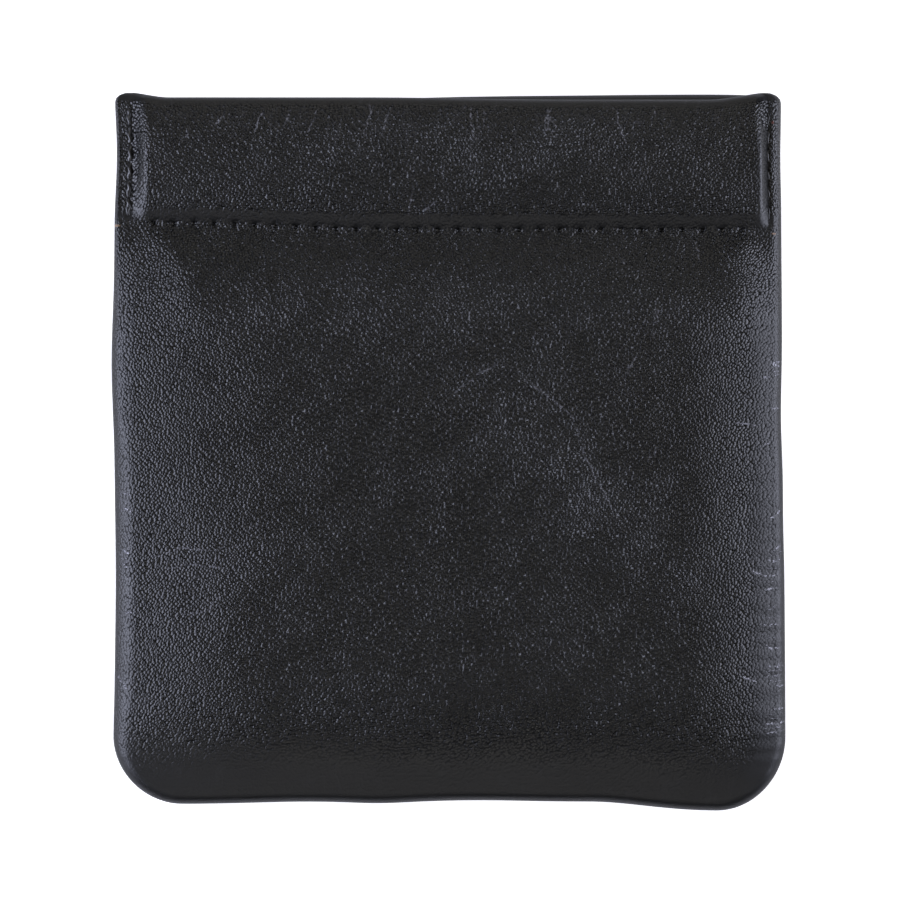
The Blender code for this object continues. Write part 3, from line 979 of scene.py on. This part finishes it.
def make_strip(name, facing, material):
    """A spring strip: two skins a strip's thickness apart, arched across, with rounded corners.

    A column at x spans the strip's full width, less the quarter circles that round its corners.
    """
    turns = np.linspace(0, pi / 2, strip_corner_points)
    ends = strip_half_length - strip_corner_radius * (1 - np.cos(turns))
    straight = np.linspace(-ends[-1], ends[-1], strip_length_points)[1:-1]
    x = np.concatenate([-ends, straight, ends[::-1]])[:, None]
    inset = np.minimum(strip_half_length - np.abs(x), strip_corner_radius)
    cut = strip_corner_radius - np.sqrt(
        np.maximum(0, strip_corner_radius ** 2 - (strip_corner_radius - inset) ** 2))
    y = strip_middle_y + (strip_half_width - cut) * np.linspace(-1, 1, strip_width_points)[None]
    x = x + 0 * y
    low = strip_seat + strip_rise(y)
    rows, columns = x.shape
    placed = settle(x, y, facing)
    top = stand(np.stack([*placed, low + strip_thickness], axis=-1), facing)
    under = stand(np.stack([*placed, low], axis=-1), facing)
    points = np.concatenate([top.reshape(-1, 3), under.reshape(-1, 3)])
    skin = grid_faces(rows, columns)
    count = rows * columns
    number = np.arange(count).reshape(rows, columns)
    loop = np.concatenate([number[0, :-1], number[:-1, -1], number[-1, :0:-1], number[:0:-1, 0]])
    after = np.roll(loop, -1)
    rim = np.column_stack([loop, after, after + count, loop + count])
    return add_piece(name, points, [skin, skin[:, ::-1] + count, rim], [material],
                     sharp=strip_sharp)


def seam_path(inset, top_y, spacing):
    """Points round the sides and the bottom, inset from the rolled edge, with their inward directions."""
    reach = bottom_corner_radius - inset
    down = np.arange(top_y, corner_centre_y, -spacing)
    angle = np.linspace(pi, 1.5 * pi, seam_corner_points)
    along = np.linspace(-corner_centre_x, 0, int(corner_centre_x / spacing))[1:]
    left = np.stack([inset - half_width + 0 * down, down, 1 + 0 * down, 0 * down], axis=-1)
    corner = np.stack([-corner_centre_x + reach * np.cos(angle), corner_centre_y + reach * np.sin(angle),
                       -np.cos(angle), -np.sin(angle)], axis=-1)
    bottom = np.stack([along, bottom_y + inset + 0 * along, 0 * along, 1 + 0 * along], axis=-1)
    half = np.concatenate([left, corner, bottom])
    mirrored = half[-2::-1] * np.array([-1, 1, -1, 1])
    return np.concatenate([half, mirrored])


def make_margins(material):
    """The turned-in margins of both walls: a profile of two layers carried round the sides and bottom.

    The profile is a rectangle with a notch on its inner side, where the two layers meet, and its inner
    side wavers a little, as a cut edge of leather does. It is narrow beside the hems.
    """
    narrow = half_width - hem_half_width - touch_gap - margin_inset
    narrow_end_y = hem_end_y - touch_gap
    x, y, inward_x, inward_y = seam_path(margin_inset, lip_y - margin_top_gap, margin_spacing).T
    width = narrow + (margin_width - narrow) * np.clip((narrow_end_y - y) / margin_taper, 0, 1)
    waves = 1 + np.sin(x * margin_waves[0] + y * margin_waves[1])
    width = width - margin_waver * waves * np.clip((narrow_end_y - y) / margin_waver_fade, 0, 1)
    share, layer = np.array(margin_profile).T
    place_x = x[:, None] + inward_x[:, None] * width[:, None] * share[None]
    place_y = y[:, None] + inward_y[:, None] * width[:, None] * share[None]
    level = leather * layer[None] + 0 * place_x
    points = stand(np.stack([*settle(place_x, place_y, 0), level], axis=-1), 1)
    piece = add_piece("margins", points.reshape(-1, 3), tube_faces(*place_x.shape), [material],
                      sharp=margin_sharp)
    add_vectors(piece, "hide", np.stack([place_x, place_y, level], axis=-1).reshape(-1, 3))
    return piece


def make_seam_thread(material):
    """The hidden seam's thread, one twisted line round the sides and the bottom."""
    x, y, _, _ = seam_path(seam_inset, lip_y - margin_top_gap, seam_spacing).T
    centre = stand(np.stack([*settle(x, y, 0), 0 * x], axis=-1), 1)
    return make_thread("seam_stitches", centre, seam_thread_thickness, seam_ply_depth, seam_ply_turn,
                       seam_thread_sides, material)


def part_walls(piece):
    """Bake a wall's piece's placement into its mesh and read its points' places.
    """
    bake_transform(piece)
    places = np.empty(len(piece.data.vertices) * 3, np.float32)
    piece.data.vertices.foreach_get("co", places)


class Finish:
    """A material under making: its node tree and its main shader."""

    def __init__(self, name):
        self.material = bpy.data.materials.new(name)
        self.material.use_nodes = True
        self.tree = self.material.node_tree
        self.shader = self.tree.nodes["Principled BSDF"]

    def node(self, kind, inputs=(), **settings):
        """Add a node. inputs maps the number or name of a socket to a value or to another's output."""
        made = self.tree.nodes.new(kind)
        for name, value in settings.items():
            setattr(made, name, value)
        for name, value in dict(inputs).items():
            if isinstance(value, bpy.types.NodeSocket):
                self.tree.links.new(value, made.inputs[name])
            else:
                made.inputs[name].default_value = value
        return made

    def math(self, operation, first, second=0.0, third=0.0):
        """Output of a Math node."""
        inputs = {0: first, 1: second, 2: third}
        return self.node("ShaderNodeMath", inputs, operation=operation).outputs[0]

    def times(self, first, second):
        """Product of two values."""
        return self.math("MULTIPLY", first, second)

    def plus(self, first, second, share=1.0):
        """First value plus a share of the second."""
        return self.math("MULTIPLY_ADD", second, share, first)

    def minus(self, first, second):
        """Difference of two values."""
        return self.math("SUBTRACT", first, second)

    def ramp(self, value, low, high, start=0.0, end=1.0):
        """Value mapped smoothly from low..high to start..end."""
        inputs = {"Value": value, "From Min": low, "From Max": high, "To Min": start, "To Max": end}
        return self.node("ShaderNodeMapRange", inputs, interpolation_type="SMOOTHSTEP").outputs[0]

    def mix(self, share, first, second):
        """Colour between two colours."""
        inputs = {"Factor": share, 6: first, 7: second}
        return self.node("ShaderNodeMix", inputs, data_type="RGBA").outputs[2]

    def vector(self, attribute):
        """The vector that each point of a piece carries under a name."""
        return self.node("ShaderNodeAttribute", attribute_name=attribute).outputs["Vector"]

    def parts(self, vector):
        """A vector's three numbers."""
        return self.node("ShaderNodeSeparateXYZ", {0: vector}).outputs

    def mapped(self, vector, scale=(1, 1, 1), turn=0.0):
        """A vector scaled, and turned about its third axis."""
        inputs = {"Vector": vector, "Rotation": (0, 0, turn), "Scale": scale}
        return self.node("ShaderNodeMapping", inputs).outputs[0]

    def hide_place(self):
        """A point's place on the flat hide, in millimetres."""
        return self.mapped(self.vector("hide"), (millimetres, millimetres, millimetres))

    def noise(self, vector, scale, detail=2.0, roughness=0.5, output="Fac"):
        """Cloudy noise, as a value from 0 to 1 or as a colour."""
        inputs = {"Vector": vector, "Scale": scale, "Detail": detail, "Roughness": roughness}
        return self.node("ShaderNodeTexNoise", inputs).outputs[output]

    def contours(self, vector, width):
        """Thin winding lines: where a noise passes through its middle value."""
        from_middle = self.math("ABSOLUTE", self.minus(self.noise(vector, 1.0), 0.5))
        return self.ramp(from_middle, 0.0, width, 1.0, 0.0)

    def bump(self, height, distance, strength=1.0):
        """Relief of the surface, distance metres for each unit of height."""
        inputs = {"Strength": strength, "Distance": distance, "Height": height}
        self.link(self.node("ShaderNodeBump", inputs).outputs[0], "Normal")

    def link(self, output, socket):
        """Feed an output into a socket of the main shader."""
        self.tree.links.new(output, self.shader.inputs[socket])

    def set(self, socket, value):
        """Set a socket of the main shader."""
        self.shader.inputs[socket].default_value = value


def bend_rows(finish, place):
    """The hide's places pushed aside by a slow noise, so that rows and lines wind a little."""
    push = finish.noise(place, row_bends_per_mm, detail=1.0, output="Color")
    middle = (0.5, 0.5, 0.5)
    push = finish.node("ShaderNodeVectorMath", {0: push, 1: middle}, operation="SUBTRACT").outputs[0]
    push = finish.node("ShaderNodeVectorMath", {0: push, "Scale": row_bend}, operation="SCALE").outputs[0]
    return finish.node("ShaderNodeVectorMath", {0: place, 1: push}, operation="ADD").outputs[0]


def pebbles(finish, bent, relief):
    """Slanted rows of pebbles, domes of 1 less twice the squared distance from a cell's middle.

    Fine noise roughens them, relief flattens or lifts them, and they stand higher in long streaks.
    """
    turned = finish.mapped(bent, turn=pebble_rows_turn)
    rows = finish.mapped(turned, pebble_rows_stretch)
    cells = finish.node("ShaderNodeTexVoronoi",
                        {"Vector": rows, "Scale": pebbles_per_mm, "Randomness": pebble_scatter},
                        feature="F1", voronoi_dimensions="2D").outputs["Distance"]
    domes = finish.math("MULTIPLY_ADD", finish.times(cells, cells), -2.0, 1.0)
    fine = finish.noise(rows, fine_per_mm, roughness=0.6)
    height = finish.times(finish.plus(domes, fine, fine_share), relief)
    streaks = finish.noise(finish.mapped(turned, streak_stretch), 1.0)
    return domes, fine, finish.times(height, finish.ramp(streaks, *noise_span, *streak_heights))


def fine_lines(finish, place, bent, cross, veins, pressed):
    """Thin winding lines in patches: across the side edges, and upright where the veins are. They stand in
    relief, and their colour is lightened as a painted highlight.
    """
    patches = finish.ramp(finish.noise(place, line_patches_per_mm), *line_patch_edge)
    folds = finish.contours(finish.mapped(bent, fold_line_stretch), fold_line_width)
    folds = finish.times(finish.times(folds, cross), finish.times(patches, finish.minus(1.0, pressed)))
    upright = finish.contours(finish.mapped(bent, vein_stretch), vein_width)
    return finish.plus(folds, finish.times(finish.times(upright, veins), patches))


def drawn_creases(finish, place, distance, strength, domes):
    """The creases of the used front, wavering, in dots and dashes and brightest on the pebbles. They stand
    in relief, and their colour is a painted highlight.
    """
    waver = finish.times(finish.minus(finish.noise(place, crease_wavers_per_mm), 0.5), crease_waver)
    from_middle = finish.math("ABSOLUTE", finish.plus(distance, waver))
    dots = finish.ramp(finish.noise(place, crease_dots_per_mm, detail=1.0), *crease_dot_edge)
    shown = finish.math("MINIMUM", finish.times(dots, strength), 1.0)
    crease = finish.times(finish.ramp(from_middle, *crease_sides, 1.0, 0.0), shown)
    return finish.times(crease, finish.ramp(domes, *crease_dome_edge, crease_between_pebbles, 1.0))


def oval(finish, along, aside):
    """Squared distance from an oval's centre, 1 on its edge, from two distances in half lengths."""
    return finish.plus(finish.times(along, along), finish.times(aside, aside))


def needle_holes(finish, across, up):
    """Needle holes of the casing's row of stitches: ovals a pitch apart, as far as the strip reaches."""
    pitch = stitch_pitch * millimetres
    from_middle = finish.math("PINGPONG", finish.math("DIVIDE", across, pitch), 0.5)
    along = finish.times(finish.minus(0.5, from_middle), pitch / needle_hole_length)
    aside = finish.math("DIVIDE", finish.minus(up, stitches_y * millimetres), needle_hole_width)
    reach = finish.math("SQRT", oval(finish, along, aside))
    inside = finish.math("LESS_THAN", finish.math("ABSOLUTE", across), strip_half_length * millimetres)
    return finish.times(finish.ramp(reach, *needle_hole_edge, 1.0, 0.0), inside)


def bare_spots(finish, colour, across, up):
    """Colour of the leather with its worn spots, small soft ovals of bare leather."""
    for x, y, half_length, half_height, bare_colour in bare_marks:
        along = finish.math("DIVIDE", finish.minus(across, x * millimetres), half_length * millimetres)
        aside = finish.math("DIVIDE", finish.minus(up, y * millimetres), half_height * millimetres)
        bare = finish.ramp(oval(finish, along, aside), *bare_edge, 1.0, 0.0)
        colour = finish.mix(bare, colour, bare_colour)
    return colour


def grain_leather():
    """Black leather, grain side out: slanted rows of pebbles, creases, veins, holes and smooth bands, with
    painted shade in the crevices and needle holes and painted highlights along the lines and creases.
    """
    finish = Finish("black_grain_leather")
    place = finish.hide_place()
    across, up, _ = finish.parts(place)
    cross, veins, relief = finish.parts(finish.vector("wear_and_painted_light"))
    distance, strength, glossy = finish.parts(finish.vector("creases"))
    pressed = finish.math("DIVIDE", finish.minus(1.0, relief), pressed_away)
    pressed = finish.math("MAXIMUM", pressed, 0.0)

    bent = bend_rows(finish, place)
    domes, fine, height = pebbles(finish, bent, relief)
    lines = fine_lines(finish, place, bent, cross, veins, pressed)
    crease = drawn_creases(finish, place, distance, strength, domes)
    hole = needle_holes(finish, across, up)
    height = finish.plus(height, lines, line_height)
    height = finish.plus(height, crease, crease_height)
    finish.bump(finish.plus(height, hole, -needle_hole_drop), grain_height)

    top = finish.mix(finish.noise(place, tones_per_mm, detail=3.0), *pebble_colours)
    # Painted shade: the colour darkens towards the crevices between the pebbles, partly dye settled there,
    # except where the leather is pressed smooth
    shade = finish.math("MAXIMUM", finish.ramp(domes, *crevice_painted_shade_edge), pressed)
    colour = finish.mix(shade, crevice_painted_shade_colour, top)
    # Painted highlight along the fine lines
    colour = finish.mix(finish.times(lines, line_painted_highlight_share), colour, line_painted_highlight_colour)
    # Painted highlight along the creases
    colour = finish.mix(crease, colour, crease_painted_highlight_colour)
    # Painted shade in the needle holes
    colour = finish.mix(hole, colour, needle_hole_painted_shade_colour)
    finish.link(bare_spots(finish, colour, across, up), "Base Color")

    rough = finish.plus(finish.ramp(fine, *noise_span, *grain_roughness), pressed, pressed_roughness)
    rough = finish.plus(rough, hole, needle_hole_roughness)
    finish.link(finish.plus(rough, glossy, glossy_roughness), "Roughness")
    finish.set("Specular IOR Level", grain_gloss)
    return finish.material


def flesh_leather():
    """The leather's flesh side and cut edges: dull, short-napped black with a brown cast."""
    finish = Finish("black_flesh_leather")
    place = finish.hide_place()
    finish.link(finish.mix(finish.noise(place, blotches_per_mm), *flesh_colours), "Base Color")
    nap = finish.noise(place, nap_per_mm, detail=4.0, roughness=0.7)
    finish.bump(nap, nap_height, strength=0.8)
    finish.set("Roughness", flesh_roughness)
    finish.set("Specular IOR Level", flesh_gloss)
    return finish.material


def waxed_thread():
    """Black waxed thread with fine fibres."""
    finish = Finish("black_waxed_thread")
    place = finish.node("ShaderNodeTexCoord").outputs["Object"]
    fibres = finish.noise(place, fibres_per_metre)
    finish.link(finish.mix(fibres, *thread_colours), "Base Color")
    finish.bump(fibres, fibre_height, strength=0.5)
    finish.set("Roughness", thread_roughness)
    finish.set("Specular IOR Level", thread_gloss)
    return finish.material


def spring_steel():
    """Blued spring steel with fine rolling lines along the strip."""
    finish = Finish("spring_steel")
    place = finish.node("ShaderNodeTexCoord").outputs["Object"]
    rolled = finish.noise(finish.mapped(place, rolling_stretch), 1.0, detail=3.0)
    finish.link(finish.mix(rolled, *steel_colours), "Base Color")
    finish.link(finish.ramp(rolled, *rolling_span, *steel_roughness), "Roughness")
    finish.set("Metallic", 1.0)
    return finish.material


def set_camera():
    """A camera square over the pouch, as far off as the lens needs to see the photograph's width."""
    camera = bpy.data.cameras.new("camera")
    camera.lens, camera.sensor_width = lens, sensor
    camera.clip_start, camera.clip_end = nearest_seen, farthest_seen
    view = bpy.data.objects.new("camera", camera)
    stand_off = photo_width * photo_pixel * lens / sensor
    view.location = (camera_x, camera_y, mid_plane + stand_off)
    bpy.context.scene.collection.objects.link(view)
    bpy.context.scene.camera = view


def add_lamp(name, place, size, power, colour):
    """A soft rectangular lamp at place that shines at the pouch's middle, where the frame starts."""
    middle = Vector((0, 0, 0))
    light = bpy.data.lights.new(name, "AREA")
    light.shape = "RECTANGLE"
    light.size, light.size_y = size
    light.energy = power
    light.color = colour
    item = bpy.data.objects.new(name, light)
    item.location = place
    item.visible_camera = False
    item.rotation_euler = (middle - Vector(place)).to_track_quat("-Z", "Y").to_euler()
    bpy.context.scene.collection.objects.link(item)


def make_room():
    """A dim white room, which the camera sees as white."""
    world = bpy.data.worlds.new("room")
    bpy.context.scene.world = world
    world.use_nodes = True
    tree = world.node_tree
    room = tree.nodes["Background"]
    room.inputs["Color"].default_value = white
    room.inputs["Strength"].default_value = room_light
    backdrop = tree.nodes.new("ShaderNodeBackground")
    backdrop.inputs["Color"].default_value = white
    path = tree.nodes.new("ShaderNodeLightPath")
    either = tree.nodes.new("ShaderNodeMixShader")
    tree.links.new(path.outputs["Is Camera Ray"], either.inputs["Fac"])
    tree.links.new(room.outputs[0], either.inputs[1])
    tree.links.new(backdrop.outputs[0], either.inputs[2])
    tree.links.new(either.outputs[0], tree.nodes["World Output"].inputs["Surface"])


def lay_table():
    """A dull table below the pouch, which glows white for the camera and a little in reflections."""
    table = Finish("white_table")
    table.set("Base Color", table_colour)
    table.set("Roughness", table_roughness)
    table.set("Specular IOR Level", 0.0)
    path = table.node("ShaderNodeLightPath").outputs
    seen = table.times(path["Is Camera Ray"], table_glow)
    mirrored = table.math("MAXIMUM", path["Is Glossy Ray"], path["Is Transmission Ray"])
    strength = table.plus(seen, mirrored, table_mirrored)
    glow = table.node("ShaderNodeEmission", {"Color": white, "Strength": strength})
    both = table.node("ShaderNodeAddShader", {0: table.shader.outputs[0], 1: glow.outputs[0]})
    table.tree.links.new(both.outputs[0], table.tree.nodes["Material Output"].inputs["Surface"])
    mesh = bpy.data.meshes.new("table")
    corners = ((-1, -1), (1, -1), (1, 1), (-1, 1))
    mesh.from_pydata([(table_half_width * x, table_half_width * y, table_top) for x, y in corners],
                     [], [(0, 1, 2, 3)])
    mesh.materials.append(table.material)
    floor = bpy.data.objects.new("table", mesh)
    bpy.context.scene.collection.objects.link(floor)


def main():
    """Set the stage, make both walls' pieces and the edge's between them, and bake the walls' pieces in
    place.
    """
    bpy.context.scene.view_settings.view_transform = "Standard"
    set_camera()
    for name, place, size, power, colour in lamps:
        add_lamp(name, place, size, power, colour)
    make_room()
    lay_table()

    grain = grain_leather()
    flesh = flesh_leather()
    steel = spring_steel()
    thread = waxed_thread()
    walls = {}
    for wall, facing in (("front", 1), ("back", -1)):
        walls[wall] = [
            make_wall(f"{wall}_leather", facing, grain, flesh),
            make_strip(f"{wall}_strip", facing, steel),
            *make_rows(wall, facing, thread),
        ]
        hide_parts(f"{wall}_panel")
        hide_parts(f"{wall}_spring")
    edge = make_margins(flesh)
    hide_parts("sewn_edge")
    seam = make_seam_thread(thread)
    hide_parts("seam_thread")
    for piece in (edge, seam):
        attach(piece, "pouch_edge")
    for piece in walls["front"]:
        part_walls(piece)
    for piece in walls["back"]:
        part_walls(piece)


main()
